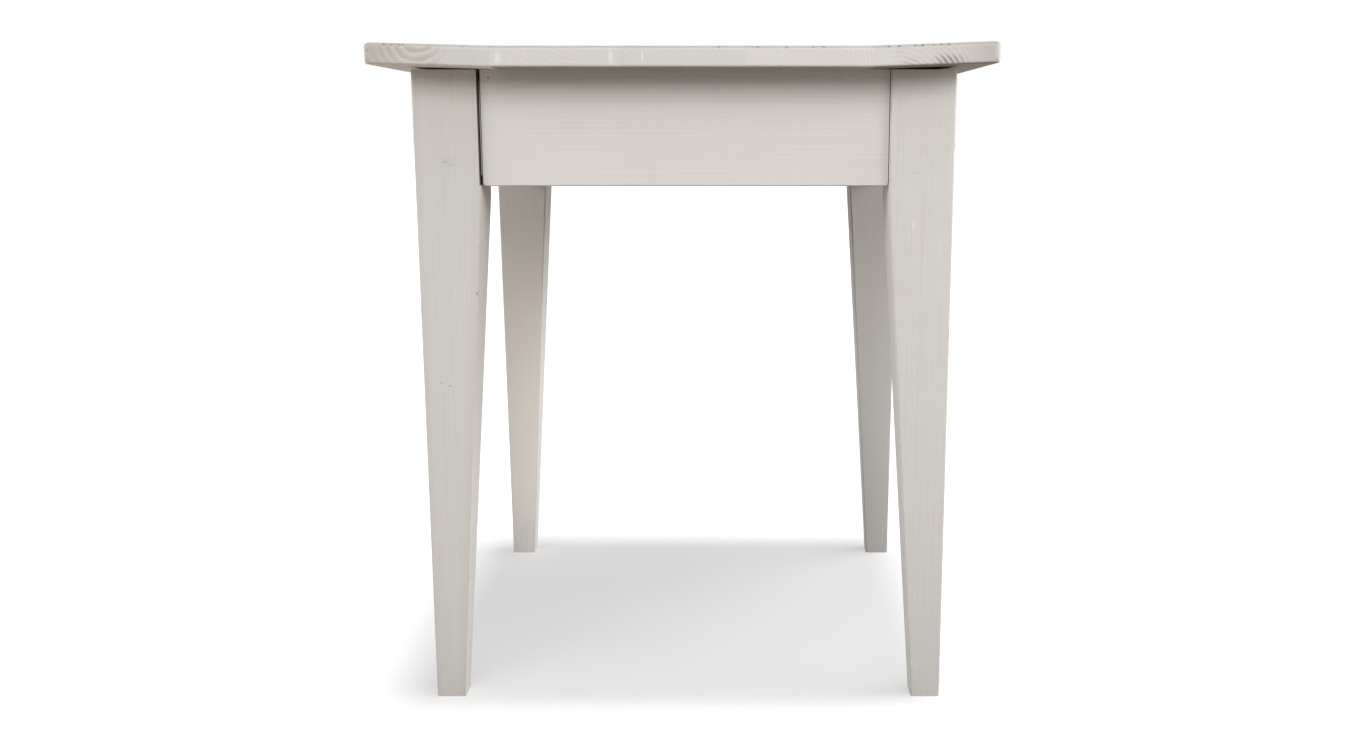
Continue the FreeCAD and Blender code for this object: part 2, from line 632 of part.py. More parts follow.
def knob(label, origin):
    """A turned knob that points towards -X, bored for its screw."""
    body = new_body(label, origin)
    head_back = "(Sizes.knob_head_long - Sizes.knob_long)"
    turn_round_x(body, "turning", [
        ("0", "0"),
        ("0", "Sizes.knob_base / 2"),
        ("-Sizes.knob_foot", "Sizes.knob_base / 2"),
        ("-Sizes.knob_foot", "Sizes.knob_neck / 2"),
        (head_back, "Sizes.knob_neck / 2"),
        (head_back, "Sizes.knob_head / 2"),
        ("Sizes.knob_crown - Sizes.knob_long", "Sizes.knob_head / 2"),
        ("-Sizes.knob_long", "Sizes.knob_head / 2 - Sizes.knob_crown"),
        ("-Sizes.knob_long", "0"),
    ])
    reach = "(Sizes.knob_screw_long - Sizes.front_thick + Sizes.screw_fit)"
    cut_hole(body, "screw_bore", (f"-{reach}", "0", "0"),
             "Sizes.knob_screw_thick / 2 + Sizes.screw_fit", reach, along_x=True)


def knob_screw(label, origin):
    """The screw through the drawer front, in a frame under its head."""
    body = new_body(label, origin)
    turn_round_x(body, "turning", [
        ("-Sizes.knob_screw_long", "0"),
        ("-Sizes.knob_screw_long", "Sizes.knob_screw_thick / 2"),
        ("0", "Sizes.knob_screw_thick / 2"),
        ("0", "Sizes.screw_head / 2"),
        ("Sizes.screw_head_high", "Sizes.screw_head / 2"),
        ("Sizes.screw_head_high", "0"),
    ])


def drawer(name, side):
    middle = f"({side} * {DRAWER_MIDDLE})"
    near_side = f"{middle} - {FRONT_WIDE} / 2"
    far_side = f"{middle} + {FRONT_WIDE} / 2 - Sizes.side_thick"
    knob_height = f"{DRAWER_LOW} + {FRONT_HIGH} / 2"
    drawer_front(f"{name}_front", (RAIL_FACE, middle, DRAWER_LOW))
    drawer_side(f"{name}_side_near", (RAIL_FACE, near_side, DRAWER_LOW), inner_face_high=True)
    drawer_side(f"{name}_side_far", (RAIL_FACE, far_side, DRAWER_LOW), inner_face_high=False)
    drawer_panels(name, middle)
    knob(f"{name}_knob", (RAIL_FACE, middle, knob_height))
    knob_screw(f"{name}_knob_screw", (f"{RAIL_FACE} + Sizes.front_thick", middle, knob_height))


# The whole table

for board_index in range(int(number("Sizes.board_count"))):
    top_board(board_index)

leg("leg_near_left", (f"-{LEG_X}", f"-{LEG_Y}"), 0, rail_face="y")
leg("leg_near_right", (LEG_X, f"-{LEG_Y}"), 90)
leg("leg_far_right", (LEG_X, LEG_Y), 180)
leg("leg_far_left", (f"-{LEG_X}", LEG_Y), 270, rail_face="x")

apron("apron_near", (f"-{SPAN_X} / 2", f"-{LEG_Y} + Sizes.apron_setback", APRON_LOW), 0, SPAN_X,
      gap="Sizes.open_joint")
apron("apron_far", (f"{SPAN_X} / 2", f"{LEG_Y} - Sizes.apron_setback", APRON_LOW), 180, SPAN_X)
apron("apron_back", (f"{LEG_X} - Sizes.apron_setback", f"-{SPAN_Y} / 2", APRON_LOW), 90, SPAN_Y)

drawer_rail("rail_top", RAIL_TOP_LOW, "Sizes.rail_top_thick", "0")
drawer_rail("rail_low", APRON_LOW, "Sizes.rail_low_thick",
            "Sizes.rail_low_thick - Sizes.stub_long - Sizes.tenon_fit")
drawer_divider()

end_gear("near", NEAR)
end_gear("far", FAR)
middle_gear()
drawer_stops()
top_screws()

drawer("near_drawer", NEAR)
drawer("far_drawer", FAR)

# Every object has to be sound before anything is written

doc.recompute()
for item in doc.Objects:
    if "Invalid" in item.State or "Error" in item.State:
        raise RuntimeError(f"{item.Label} did not compute")
for node in nodes:
    if node.Shape.isNull() or not node.Shape.isValid() or not node.Shape.Solids:
        raise RuntimeError(f"{node.Label} has no sound shape")

os.makedirs("parts", exist_ok=True)
for node in nodes:
    node.Shape.exportStep(f"parts/{node.Label}.step")
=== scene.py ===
"""Looks of a kitchen table of whitewashed pine with two drawers, seen from one end.

Metres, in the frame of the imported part: X across the table, Y along it, Z up.
"""
import json
import math
from collections import namedtuple

import bmesh
import bpy
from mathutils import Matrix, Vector
from mathutils.geometry import interpolate_bezier

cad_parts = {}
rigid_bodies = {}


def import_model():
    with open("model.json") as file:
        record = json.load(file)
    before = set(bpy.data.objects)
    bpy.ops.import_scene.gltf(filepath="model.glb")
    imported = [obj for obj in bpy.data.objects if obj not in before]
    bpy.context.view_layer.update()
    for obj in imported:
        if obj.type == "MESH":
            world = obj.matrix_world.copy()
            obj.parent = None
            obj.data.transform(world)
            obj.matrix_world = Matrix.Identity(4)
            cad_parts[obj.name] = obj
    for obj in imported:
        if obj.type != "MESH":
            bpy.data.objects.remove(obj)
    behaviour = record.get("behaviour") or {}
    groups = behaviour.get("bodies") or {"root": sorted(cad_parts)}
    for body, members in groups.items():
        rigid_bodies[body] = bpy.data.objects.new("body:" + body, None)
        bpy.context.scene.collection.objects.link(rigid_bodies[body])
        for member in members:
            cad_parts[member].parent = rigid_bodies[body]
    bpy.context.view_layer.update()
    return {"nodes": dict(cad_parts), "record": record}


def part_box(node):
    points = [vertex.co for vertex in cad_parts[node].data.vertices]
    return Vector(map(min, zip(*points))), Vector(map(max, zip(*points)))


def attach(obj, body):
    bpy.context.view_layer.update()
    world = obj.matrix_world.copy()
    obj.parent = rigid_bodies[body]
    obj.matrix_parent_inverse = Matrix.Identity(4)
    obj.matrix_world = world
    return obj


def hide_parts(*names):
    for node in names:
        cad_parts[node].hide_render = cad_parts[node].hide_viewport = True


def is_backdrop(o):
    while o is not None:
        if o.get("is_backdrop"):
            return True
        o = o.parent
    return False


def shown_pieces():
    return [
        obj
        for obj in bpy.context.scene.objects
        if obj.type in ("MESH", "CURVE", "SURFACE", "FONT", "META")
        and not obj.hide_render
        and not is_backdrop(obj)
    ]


for leftover in list(bpy.data.objects):
    bpy.data.objects.remove(leftover)
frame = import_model()
nodes = frame["nodes"]
scene = bpy.context.scene
scene.view_settings.view_transform = "Standard"

MM = 0.001

# Camera, from a fit to the photo's edges: pixels, metres and radians
PHOTO_WIDE, PHOTO_HIGH = 1367, 750
FOCAL_PX = 1422.0
AXIS_PX = (735.9, 419.4)
CAMERA_FROM_NEAR_LEGS = 1.6203
CAMERA_X, CAMERA_Z = 0.0576, 0.6672
CAMERA_DOWN = 0.1984
SENSOR = 36.0

# Light levels: 1 shows a colour as it is written
AMBIENT_BRIGHT, AMBIENT_DIM = 0.44, 0.02
AMBIENT_FROM = (0.80, -0.42, 0.42)
AMBIENT_TINT = (1.0, 0.98, 0.96)
WHITE = (1.0, 1.0, 1.0)
FLOOR_GLOW = 0.46
FLOOR_SEEN = (0.495, 0.50, 0.505)
FLOOR_BOUNCE = (0.222, 0.198, 0.173)
FLOOR_REACH = 60.0
# Suns: degrees to the right of the near end, degrees up, spread in degrees, level
TABLE_SUNS = [("overhead", 0, 90, 9, 0.05)]
FLOOR_SUNS = [
    ("floor_overhead", 90, 88.5, 9, 0.86),
    ("floor_front", 5, 55, 50, 0.30),
    ("floor_right", 90, 60, 40, 0.32),
]
SUN_DISTANCE = 3.0
# Softboxes: degrees to the right of the near end, degrees up, distance, width and height, level
SOFTBOXES = [
    ("key", 3.5, 28, 6.0, (0.8, 2.8), 0.39),
    ("right_fill", 74, 16, 4.0, (2.8, 1.5), 0.90),
    ("left_fill", -72, 16, 4.0, (2.8, 1.5), 0.64),
    ("back_fill", 180, 25, 4.0, (3.0, 2.0), 0.45),
]

# Finishes: linear colours
WASH = (0.680, 0.658, 0.632)
WASH_COOL = (0.600, 0.588, 0.572)
# The thin wash of worn places, rings and knots, also used as painted shade at the top of the legs
THIN_WASH_AND_SHADE = (0.500, 0.425, 0.365)
# A warm wash, also used as painted light on the first board's underside and on the far left leg
WARM_WASH_AND_LIGHT = (0.790, 0.735, 0.670)
# A pale, pooled wash in spots and scuffs, also used as painted light on the inner faces of three legs
PALE_WASH_AND_LIGHT = (0.780, 0.770, 0.755)
DENT = (0.150, 0.138, 0.128)
# Near black: painted shade in the joints and gaps, and the dark of a nail hole
SHADE_BLACK = (0.050, 0.042, 0.036)
# Grey of the end grain, also used as painted shade on the tabletop's upper edge, its seams and the legs'
# feet
RING_GREY_AND_SHADE = (0.430, 0.402, 0.378)
# A greyer thin wash, also used as painted shade on parts of the legs
GREY_WASH_AND_SHADE = (0.395, 0.390, 0.380)
# The thin wash under the tabletop, darkened as painted shade
SHADED_UNDERSIDE = (0.225, 0.188, 0.153)
KNOT_GREY = (0.400, 0.395, 0.385)
KNOT_BROWN = (0.300, 0.225, 0.165)
PINE_LIGHT = (0.660, 0.500, 0.325)
PINE_DARK = (0.500, 0.335, 0.180)
PINE_END = (0.330, 0.205, 0.105)
STEEL = (0.55, 0.54, 0.52)

# Noise drawn out along the grain: features per metre across, beside and along it, detail, roughness
SWAY = ((4.0, 4.0, 1.2), 1.0, 0.5)
RAGGED = ((55.0, 55.0, 4.0), 3.0, 0.5)
FIBRE = ((900.0, 900.0, 14.0), 3.0, 0.6)
BRUSH = ((620.0, 620.0, 9.0), 4.0, 0.62)
LINES = ((230.0, 230.0, 1.4), 2.0, 0.55)
WEAVE = ((16.0, 16.0, 520.0), 3.0, 0.6)
TONE = ((16.0, 16.0, 2.6), 3.0, 0.55)
# Noise alike in all directions: features per metre, detail, roughness
CLOUD = (9.0, 3.0, 0.55)
MOTTLE = (46.0, 3.0, 0.6)
CHIPS = (260.0, 2.0, 0.5)
STEEL_CLOUD = (900.0, 3.0, 0.5)
# How far the noise of one piece lies from that of the next
PLACE_STEP = (1.7, 0.9, 1.3)
GRAIN_STEP = (0.37, 0.53, 0.71)
# Growth rings: width in mm, how far they sway, how ragged they are, where latewood starts and ends
RING_WIDTH = 5.0
RING_SWAY = 24 * MM
RING_RAGGED = 0.8
LATEWOOD_STARTS, LATEWOOD_ENDS = (0.12, 0.62), (0.80, 1.0)
# How squarely a surface looks along an axis, where an effect starts and where it is full
END_GRAIN, FACE, EDGE = (0.55, 0.85), (0.5, 0.9), (0.985, 0.86)
ARRIS_SHADE_FACING, UPPER_FACE, UPRIGHT = (0.1, 0.5), (0.6, 0.9), (0.8, 0.5)
JOINT_SIDE, NOT_RIGHT = (0.4, 0.8), (0.7, 0.3)
# How far from its centre a blot with an even rim is full, as a share of its half sizes
BLOT_CORE = 0.4


# Shader building blocks


class Shader:
    """A node tree of a material or a world, with short calls for the nodes used here."""

    def __init__(self, owner):
        self.owner = owner
        owner.use_nodes = True
        self.tree = owner.node_tree
        self.tree.nodes.clear()

    def node(self, kind, **settings):
        made = self.tree.nodes.new(kind)
        for key, value in settings.items():
            setattr(made, key, value)
        return made

    def feed(self, socket, value):
        if hasattr(value, "is_output"):
            self.tree.links.new(value, socket)
        else:
            socket.default_value = value

    def math(self, operation, first, second=0.0, third=0.0):
        made = self.node("ShaderNodeMath", operation=operation)
        for socket, value in zip(made.inputs, (first, second, third)):
            self.feed(socket, value)
        return made.outputs[0]

    def times(self, *values):
        product = values[0]
        for value in values[1:]:
            product = self.math("MULTIPLY", product, value)
        return product

    def plus(self, *values):
        total = values[0]
        for value in values[1:]:
            total = self.math("ADD", total, value)
        return total

    def vector(self, operation, first, second=(0.0, 0.0, 0.0)):
        made = self.node("ShaderNodeVectorMath", operation=operation)
        self.feed(made.inputs[0], first)
        self.feed(made.inputs[1], second)
        return made.outputs["Value" if operation in ("LENGTH", "DOT_PRODUCT") else "Vector"]

    def split(self, vector):
        made = self.node("ShaderNodeSeparateXYZ")
        self.feed(made.inputs[0], vector)
        return list(made.outputs)

    def join(self, x, y, z):
        made = self.node("ShaderNodeCombineXYZ")
        for socket, value in zip(made.inputs, (x, y, z)):
            self.feed(socket, value)
        return made.outputs[0]

    def noise(self, vector, scale, detail, rough):
        made = self.node("ShaderNodeTexNoise", noise_dimensions="3D")
        self.feed(made.inputs["Vector"], vector)
        made.inputs["Scale"].default_value = scale
        made.inputs["Detail"].default_value = detail
        made.inputs["Roughness"].default_value = rough
        return made.outputs["Fac"]

    def ramp(self, value, low, high):
        """0 at low and below, 1 at high and beyond, smooth between; low may be the larger."""
        made = self.node("ShaderNodeMapRange", interpolation_type="SMOOTHSTEP")
        self.feed(made.inputs["Value"], value)
        made.inputs["From Min"].default_value = low
        made.inputs["From Max"].default_value = high
        return made.outputs["Result"]

    def mix(self, share, first, second):
        made = self.node("ShaderNodeMix", data_type="RGBA")
        self.feed(made.inputs["Factor"], share)
        for socket, value in ((made.inputs["A"], first), (made.inputs["B"], second)):
            self.feed(socket, value if hasattr(value, "is_output") else (*value, 1.0))
        return made.outputs["Result"]

    def finish(self, colour, roughness, height, depth, socket, value):
        """The surface: colour and roughness, a fine relief, and one constant on a named socket."""
        surface = self.node("ShaderNodeBsdfPrincipled")
        self.feed(surface.inputs["Base Color"], colour)
        self.feed(surface.inputs["Roughness"], roughness)
        surface.inputs[socket].default_value = value
        relief = self.node("ShaderNodeBump")
        relief.inputs["Distance"].default_value = depth
        relief.inputs["Strength"].default_value = 1.0
        self.feed(relief.inputs["Height"], height)
        self.feed(surface.inputs["Normal"], relief.outputs[0])
        out = self.node("ShaderNodeOutputMaterial")
        self.feed(out.inputs["Surface"], surface.outputs[0])
        return self.owner


class Wood(Shader):
    """Solid pine: growth rings about a pith that runs along the grain, fibres, and where the edges are.

    pith is a place in the two directions across the grain, ring the width of a growth ring and pale_ring
    the radius of a pale one. seed keeps the noise of two pieces apart.
    """

    # The two directions across the grain, then the one along it
    AXES = {"X": (1, 2, 0), "Y": (0, 2, 1), "Z": (0, 1, 2)}

    def __init__(self, name, grain, pith, seed, ring=RING_WIDTH * MM, pale_ring=0.0):
        super().__init__(bpy.data.materials.new(name))
        self.spot = self.node("ShaderNodeTexCoord").outputs["Object"]
        self.xyz = self.split(self.spot)
        across, beside, along = (self.xyz[index] for index in self.AXES[grain])
        self.place = self.moved(self.spot, PLACE_STEP, seed)
        self.grained = self.moved(self.join(across, beside, along), GRAIN_STEP, seed)
        self.latewood = self.growth_rings(across, beside, pith, ring, pale_ring)
        self.fibre = self.stretched(*FIBRE)
        self.brush = self.stretched(*BRUSH)
        self.lines = self.stretched(*LINES)
        self.weave = self.stretched(*WEAVE)
        self.tone = self.stretched(*TONE)
        self.cloud = self.noise(self.place, *CLOUD)
        self.mottle = self.noise(self.place, *MOTTLE)
        self.chips = self.noise(self.place, *CHIPS)
        self.normal = self.split(self.node("ShaderNodeNewGeometry").outputs["Normal"])
        sizes = [self.math("ABSOLUTE", part) for part in self.normal]
        self.end = self.ramp(sizes["XYZ".index(grain)], *END_GRAIN)
        squarest = self.math("MAXIMUM", self.math("MAXIMUM", sizes[0], sizes[1]), sizes[2])
        self.arris = self.ramp(squarest, *EDGE)

    def moved(self, vector, step, seed):
        return self.vector("ADD", vector, tuple(seed * part for part in step))

    def stretched(self, scales, detail, rough):
        """Noise drawn out along the grain; scales are across, beside and along it."""
        return self.noise(self.vector("MULTIPLY", self.grained, scales), 1.0, detail, rough)

    def growth_rings(self, across, beside, pith, ring, pale_ring):
        """1 in the dark latewood at the end of each ring, 0 in the pale wood."""
        sway = self.math("MULTIPLY_ADD", self.stretched(*SWAY), RING_SWAY, -RING_SWAY / 2)
        first = self.math("ADD", self.math("SUBTRACT", across, pith[0]), sway)
        second = self.math("SUBTRACT", beside, pith[1])
        reach = self.vector("LENGTH", self.join(first, second, 0.0))
        ragged = self.math("MULTIPLY_ADD", self.stretched(*RAGGED), RING_RAGGED, -RING_RAGGED / 2)
        rings = self.math("DIVIDE", self.math("SUBTRACT", reach, pale_ring), ring)
        turn = self.math("FRACT", self.math("ADD", rings, ragged))
        return self.math("SUBTRACT", self.ramp(turn, *LATEWOOD_STARTS), self.ramp(turn, *LATEWOOD_ENDS))

    def facing(self, axis, way):
        """1 on faces that look along an axis, way is 1 or -1, and 0 on the others."""
        low, high = FACE
        return self.ramp(self.normal["XYZ".index(axis)], way * low, way * high)

    def blot(self, centre, half_sizes, ragged):
        """1 inside an ellipsoid with a ragged rim, 0 outside it."""
        offset = self.vector("DIVIDE", self.vector("SUBTRACT", self.spot, tuple(centre)), tuple(half_sizes))
        reach = self.math("MULTIPLY_ADD", self.mottle, ragged, self.vector("LENGTH", offset))
        return self.ramp(reach, 1.0 + ragged / 2, BLOT_CORE)


# Finishes

# Wash: where in a noise an effect starts and where it is full, and its share of the colour
STROKE_RANGE, STROKE_SHARE = (0.36, 0.66), 0.55
TONE_SHARE, COOL_LESS = 0.40, 0.06
RING_PATCHES, RING_LEAST, RING_SPREAD = (0.38, 0.66), 0.35, 0.9
FACE_RINGS = 0.05
LINE_RANGE, LINE_SHARE = (0.61, 0.69), 0.11
SPECK_RANGE, SPECK_SHARE = (0.66, 0.84), 0.12
PATCH_RANGE, PATCH_SHARE = (0.48, 0.74), 0.05
CHIP_RANGE = (0.57, 0.65)
WORN_LEAST, WORN_SPREAD = 0.05, 0.9
WASH_ROUGH, WASH_ROUGH_SPREAD = 0.60, 0.16
WASH_RELIEF, WASH_SPECULAR = 0.12 * MM, 0.19
FIBRE_HEIGHT, BRUSH_HEIGHT, RING_DEPTH = 0.4, 0.5, 0.5
# Bare pine
PINE_RINGS, PINE_CLOUD, PINE_END_SHARE = 0.6, 0.25, 0.65
STREAK_RANGE, STREAK_SHARE = (0.35, 0.85), 0.30
PINE_ROUGH, LATEWOOD_SMOOTHER = 0.66, 0.12
PINE_RELIEF, PINE_SPECULAR = 0.08 * MM, 0.3
PINE_FIBRE_HEIGHT, LATEWOOD_HEIGHT = 0.6, 0.25
# Steel
STEEL_SHADE = 0.78
STEEL_ROUGH, STEEL_ROUGH_SPREAD = 0.25, 0.25
STEEL_RELIEF = 0.02 * MM


class Look:
    """What sets one washed piece apart.

    thin is how far the wash greys and end_rings how strongly rings show in the end grain, with ring_fade as
    two places across the table, from no rings to full ones. ring and pale_ring are a ring's width and the
    radius of a pale one in mm. wear and dents are for the edges, along and cross for brush strokes with the
    grain and across it. marks is a function for the piece's own marks.
    """

    def __init__(self, thin=0.02, end_rings=0.30, ring_fade=None, ring=RING_WIDTH, pale_ring=0.0,
                 wear=1.0, dents=0.3, along=1.0, cross=0.16, marks=None):
        self.thin = thin
        self.end_rings = end_rings
        self.ring_fade = ring_fade
        self.ring = ring * MM
        self.pale_ring = pale_ring * MM
        self.wear = wear
        self.dents = dents
        self.along = along
        self.cross = cross
        self.marks = marks


def brushed_wash(wood, look):
    """Colour of the wash: cooler in strokes along the grain, in strokes across it and in broad bands."""
    strokes = wood.times(wood.ramp(wood.brush, *STROKE_RANGE), STROKE_SHARE * look.along)
    crossed = wood.times(wood.ramp(wood.weave, *STROKE_RANGE), look.cross)
    coolness = wood.plus(strokes, crossed, wood.times(wood.tone, TONE_SHARE), -COOL_LESS)
    return wood.mix(coolness, WASH, WASH_COOL)


def rings_shown(wood, look):
    """How strongly the rings show: in patches on the end grain, faintly on the faces."""
    patches = wood.ramp(wood.cloud, *RING_PATCHES)
    uneven = wood.math("MULTIPLY_ADD", patches, RING_SPREAD, RING_LEAST)
    on_end = wood.times(wood.end, look.end_rings, uneven)
    if look.ring_fade:
        on_end = wood.times(on_end, wood.ramp(wood.xyz[0], *look.ring_fade))
    return wood.times(wood.latewood, wood.math("ADD", on_end, FACE_RINGS))


def worn_wash(wood, look):
    """Where the wash is worn thin: in lines along the grain, at the edges, in specks and in patches."""
    off_end = wood.math("SUBTRACT", 1.0, wood.end)
    lines = wood.times(wood.ramp(wood.lines, *LINE_RANGE), off_end, look.along, LINE_SHARE)
    uneven = wood.math("MULTIPLY_ADD", wood.mottle, WORN_SPREAD, WORN_LEAST)
    edges = wood.times(wood.arris, look.wear, uneven)
    specks = wood.times(wood.ramp(wood.fibre, *SPECK_RANGE), SPECK_SHARE)
    patches = wood.times(wood.ramp(wood.cloud, *PATCH_RANGE), PATCH_SHARE)
    return wood.math("MINIMUM", wood.plus(lines, edges, specks, patches), 1.0)


def washed_wood(name, grain, pith, seed, look):
    """Pine under a thin greyish white wash, worn at its edges."""
    wood = Wood(f"{name}_wash", grain, pith, seed, look.ring, look.pale_ring)
    rings = rings_shown(wood, look)
    chips = wood.times(wood.ramp(wood.chips, *CHIP_RANGE), wood.arris, look.dents)
    colour = brushed_wash(wood, look)
    colour = wood.mix(rings, colour, THIN_WASH_AND_SHADE)
    colour = wood.mix(look.thin, colour, GREY_WASH_AND_SHADE)
    colour = wood.mix(worn_wash(wood, look), colour, THIN_WASH_AND_SHADE)
    colour = wood.mix(chips, colour, DENT)
    if look.marks:
        colour = look.marks(wood, colour, name)
    rough = wood.math("MULTIPLY_ADD", wood.brush, WASH_ROUGH_SPREAD, WASH_ROUGH)
    fine = wood.math("MULTIPLY_ADD", wood.fibre, FIBRE_HEIGHT, wood.times(wood.brush, BRUSH_HEIGHT))
    height = wood.math("SUBTRACT", fine, wood.plus(wood.times(rings, RING_DEPTH), chips))
    return wood.finish(colour, rough, height, WASH_RELIEF, "Specular IOR Level", WASH_SPECULAR)


def pine_colour(wood):
    """Planed pine: golden latewood lines, fine darker fibres and a little cloudiness."""
    rings = wood.times(wood.latewood, PINE_RINGS)
    streaks = wood.times(wood.ramp(wood.fibre, *STREAK_RANGE), STREAK_SHARE)
    share = wood.plus(rings, streaks, wood.times(wood.cloud, PINE_CLOUD))
    colour = wood.mix(wood.math("MINIMUM", share, 1.0), PINE_LIGHT, PINE_DARK)
    return wood.mix(wood.times(wood.end, PINE_END_SHARE), colour, PINE_END)


def bare_pine(name, grain, pith, seed):
    """Planed pine without a finish."""
    wood = Wood(f"{name}_pine", grain, pith, seed)
    rough = wood.math("MULTIPLY_ADD", wood.latewood, -LATEWOOD_SMOOTHER, PINE_ROUGH)
    raised = wood.times(wood.latewood, LATEWOOD_HEIGHT)
    height = wood.math("MULTIPLY_ADD", wood.fibre, PINE_FIBRE_HEIGHT, raised)
    return wood.finish(pine_colour(wood), rough, height, PINE_RELIEF, "Specular IOR Level", PINE_SPECULAR)


def plated_steel(name):
    """Zinc-plated steel with a slightly cloudy sheen."""
    shader = Shader(bpy.data.materials.new(f"{name}_steel"))
    place = shader.node("ShaderNodeTexCoord").outputs["Object"]
    cloud = shader.noise(place, *STEEL_CLOUD)
    colour = shader.mix(cloud, STEEL, tuple(STEEL_SHADE * part for part in STEEL))
    rough = shader.math("MULTIPLY_ADD", cloud, STEEL_ROUGH_SPREAD, STEEL_ROUGH)
    return shader.finish(colour, rough, cloud, STEEL_RELIEF, "Metallic", 1.0)


# Pieces: which way the grain runs, what marks they have and how the edges are softened

GRAIN = [
    ("top_board", "Y"), ("leg", "Z"), ("apron_back", "Y"), ("apron", "X"), ("rail", "Y"),
    ("drawer_divider", "Z"), ("runner", "X"), ("guide", "X"), ("kicker", "X"), ("drawer_stops", "Y"),
    ("_front", "Y"), ("_side", "X"), ("_back", "Y"), ("_bottom", "Y"), ("_knob", "X"),
]
# Where the pith lies beside and below the pieces that follow one another, in mm
PITH_ASIDE = (35, 48, 61, 74, 87)
PITH_BELOW = (60, 77, 94, 111)
# Tabletop boards: pith in mm, across from the board's middle and up from its underside, then as in Look;
# underside is the colour there, painted shade and on the first board painted light, and bare how far it
# replaces the wash
Board = namedtuple("Board", "pith end_rings thin dents ring pale_ring ring_fade underside bare",
                   defaults=(RING_WIDTH, 0.0, None, SHADED_UNDERSIDE, 0.7))
BOARDS = {
    "top_board_1": Board((-14, 33), 0.95, 0.24, 0.45, 8.5, 19.5, (-0.250, -0.285), WARM_WASH_AND_LIGHT, 1.0),
    "top_board_2": Board((30, 95), 0.12, 0.10, 0.15),
    "top_board_3": Board((-90, 70), 0.10, 0.13, 0.20),
    "top_board_4": Board((-190, -50), 0.32, 0.0, 0.25, ring=4.0, ring_fade=(0.08, 0.17)),
    "top_board_5": Board((-42, -28), 0.30, 0.05, 0.35, ring=5.1, ring_fade=(0.222, 0.236), bare=1.0),
}
# Legs: how far the wash greys all over, which on the far right leg is painted shade; how far painted shade
# greys the foot; and how far painted shade darkens the top under the tabletop
Leg = namedtuple("Leg", "thin foot_thin handled")
LEGS = {
    "leg_near_left": Leg(0.21, 0.0, 0.18),
    "leg_near_right": Leg(0.15, 0.14, 0.02),
    "leg_far_left": Leg(0.0, 0.0, 0.12),
    # The far right leg's greying all over is painted shade
    "leg_far_right": Leg(0.28, 0.34, 0.12),
}
# Kinds of mark; those on rings darken the latewood only
Stain = namedtuple("Stain", "tint share ragged on_rings", defaults=(False,))
BROWN_RINGS = Stain(THIN_WASH_AND_SHADE, 0.7, 0.8, on_rings=True)
DARK_RINGS = Stain(DENT, 0.75, 0.5, on_rings=True)
POOLED_WASH = Stain(PALE_WASH_AND_LIGHT, 0.65, 0.7)
EDGE_DENT = Stain(DENT, 0.9, 0.8)
CORNER_DENT = Stain(DENT, 0.6, 1.2)
PAINTED_KNOT = Stain(KNOT_GREY, 0.28, 1.2)
BROWN_SPOT = Stain(KNOT_BROWN, 0.8, 0.5)
SCRATCH = Stain(DENT, 0.75, 0.6)
FAINT_SCRATCH = Stain(DENT, 0.25, 0.6)
SCUFF = Stain(PALE_WASH_AND_LIGHT, 0.5, 0.8)
# Faint darker patches; on the near apron they lie just under the tabletop
FAINT_DARK_PATCH = Stain(DENT, 0.14, 1.2)
NAIL_HOLE = Stain(SHADE_BLACK, 0.9, 0.2)
KNOT_HALO = Stain(THIN_WASH_AND_SHADE, 0.22, 1.0)
KNOT_CORE = Stain(KNOT_BROWN, 0.38, 0.7)
HAND_WEAR = Stain(THIN_WASH_AND_SHADE, 0.5, 1.2)
# Marks on the near end, in mm across the table and up from the floor, then their half sizes
NEAR_MARKS = [
    ("top_board", BROWN_RINGS, [(246, 743, 18, 8)]),
    ("top_board", DARK_RINGS, [(288, 745, 27, 9)]),
    ("top_board", POOLED_WASH, [(-198, 747, 6, 11), (-77, 748, 3.2, 10), (-43, 748, 1.8, 10)]),
    ("top_board", CORNER_DENT, [(337, 763, 3.5, 2.5), (339, 745, 2.5, 3.5)]),
    ("top_board", CORNER_DENT, [(-340, 745, 2.5, 4), (-338, 755, 2.5, 2.5)]),
    ("leg_near_left", PAINTED_KNOT, [(-265, 635, 15, 9)]),
    ("leg_near_left", BROWN_SPOT, [(-238, 488, 2.0, 3.0)]),
    ("leg_near_left", SCRATCH, [(-269, 636, 4.5, 0.5), (-261, 632, 3.0, 0.4)]),
    ("leg_near_left", SCRATCH, [(-258, 729, 0.35, 9), (-261, 725, 0.3, 6)]),
    ("leg_near_left", SCRATCH, [(-273, 381, 2.0, 1.2), (-283, 384, 0.9, 1.4), (-259, 150, 1.2, 3.0)]),
    ("leg_near_right", FAINT_SCRATCH, [(282, 629, 4, 0.6), (262, 624, 9, 0.5)]),
    ("leg_near_right", FAINT_SCRATCH, [(250, 612, 2, 0.5), (292, 110, 3, 0.8)]),
    ("leg_near_right", SCUFF, [(258, 565, 1.4, 9), (254, 556, 1.1, 6), (268, 640, 5, 1.2)]),
    ("apron_near", FAINT_DARK_PATCH, [(-190, 726, 4, 3), (-113, 726, 7, 4), (136, 729, 5, 3), (174, 727, 8, 4)]),
    ("apron_near", NAIL_HOLE, [(-218, 728, 1.3, 1.3)]),
]
MARK_DEPTH = 4 * MM
# Dents along the near upper edge, in mm across the table
TOP_DENTS = [-320, -312, -304, -300, 39, 81, 112, 141, 152, 222, 233, 250, 258, 270, 278, 286]
DENT_HALF_WIDE, DENT_HALF_HIGH, DENT_BELOW_TOP = 2.6, 2.2, 1.6
# Knots that show through the wash on the top, in mm across and along the table, then their radius
TOP_KNOTS = [(-262, 150, 9), (-118, -205, 7), (22, 88, 8), (131, 262, 6), (268, -96, 9)]
